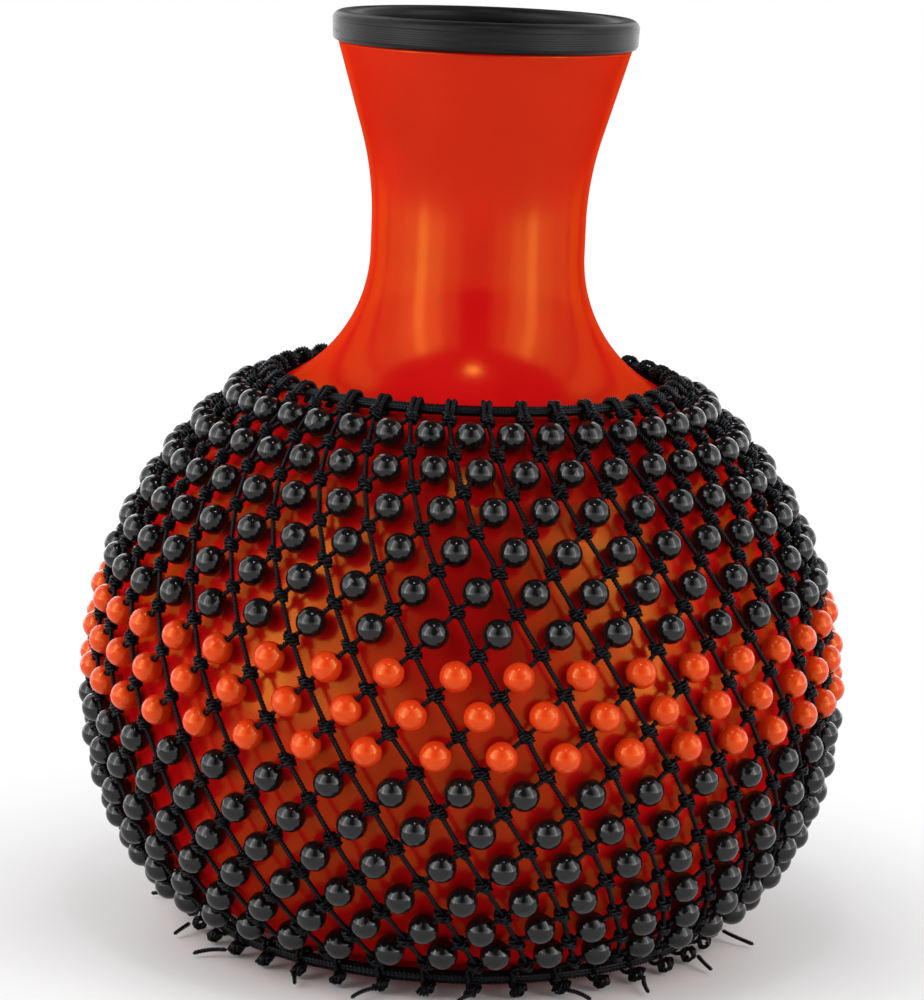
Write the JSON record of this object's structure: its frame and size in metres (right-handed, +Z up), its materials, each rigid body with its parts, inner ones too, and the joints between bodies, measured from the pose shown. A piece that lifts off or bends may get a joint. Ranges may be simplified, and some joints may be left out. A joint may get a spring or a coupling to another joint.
{
  "type": "shekere",
  "caption": "Hollow gourd-shaped shaker with a flared open neck, wrapped in a loose knotted net of round beads that turns round its belly to rattle.",
  "frame": {"origin": "centre of the flat base", "axes": "+Z up the gourd's axis to the mouth, -Y to the viewer"},
  "size_m": [0.3146, 0.3146, 0.3745],
  "materials": {
    "red_lacquer": "satin metallic lacquer on moulded fibreglass",
    "rim_rubber": "matt black edging",
    "black_bead": "polished black",
    "orange_bead": "polished orange",
    "net_cord": "twisted and braided black cord"
  },
  "bodies": {
    "gourd": {"gourd_shell": "red_lacquer", "rim_ring": "rim_rubber"},
    "net": {"neck_cord": "net_cord", "neck_hitches": "net_cord", "knots_row_00": "net_cord", "knots_row_01": "net_cord", "knots_row_02": "net_cord", "knots_row_03": "net_cord", "knots_row_04": "net_cord", "knots_row_05": "net_cord", "knots_row_06": "net_cord", "knots_row_07": "net_cord", "knots_row_08": "net_cord", "knots_row_09": "net_cord", "knots_row_10": "net_cord", "knots_row_11": "net_cord", "knots_row_12": "net_cord", "knots_row_13": "net_cord", "knots_row_14": "net_cord", "knots_row_15": "net_cord", "foot_cord": "net_cord", "foot_ties": "net_cord", "foot_tails": "net_cord", "black_beads_row_01": "black_bead", "black_beads_row_02": "black_bead", "black_beads_row_03": "black_bead", "black_beads_row_04": "black_bead", "black_beads_row_05": "black_bead", "black_beads_row_06": "black_bead", "orange_beads_row_07": "orange_bead", "orange_beads_row_08": "orange_bead", "orange_beads_row_09": "orange_bead", "black_beads_row_10": "black_bead", "black_beads_row_11": "black_bead", "black_beads_row_12": "black_bead", "black_beads_row_13": "black_bead", "black_beads_row_14": "black_bead", "black_beads_row_15": "black_bead"}
  },
  "joints": [
    {"name": "net_turn", "type": "hinge", "parent": "gourd", "child": "net", "pos_m": [0, 0, 0.102], "axis": [0, 0, 1], "continuous": true}
  ]
}
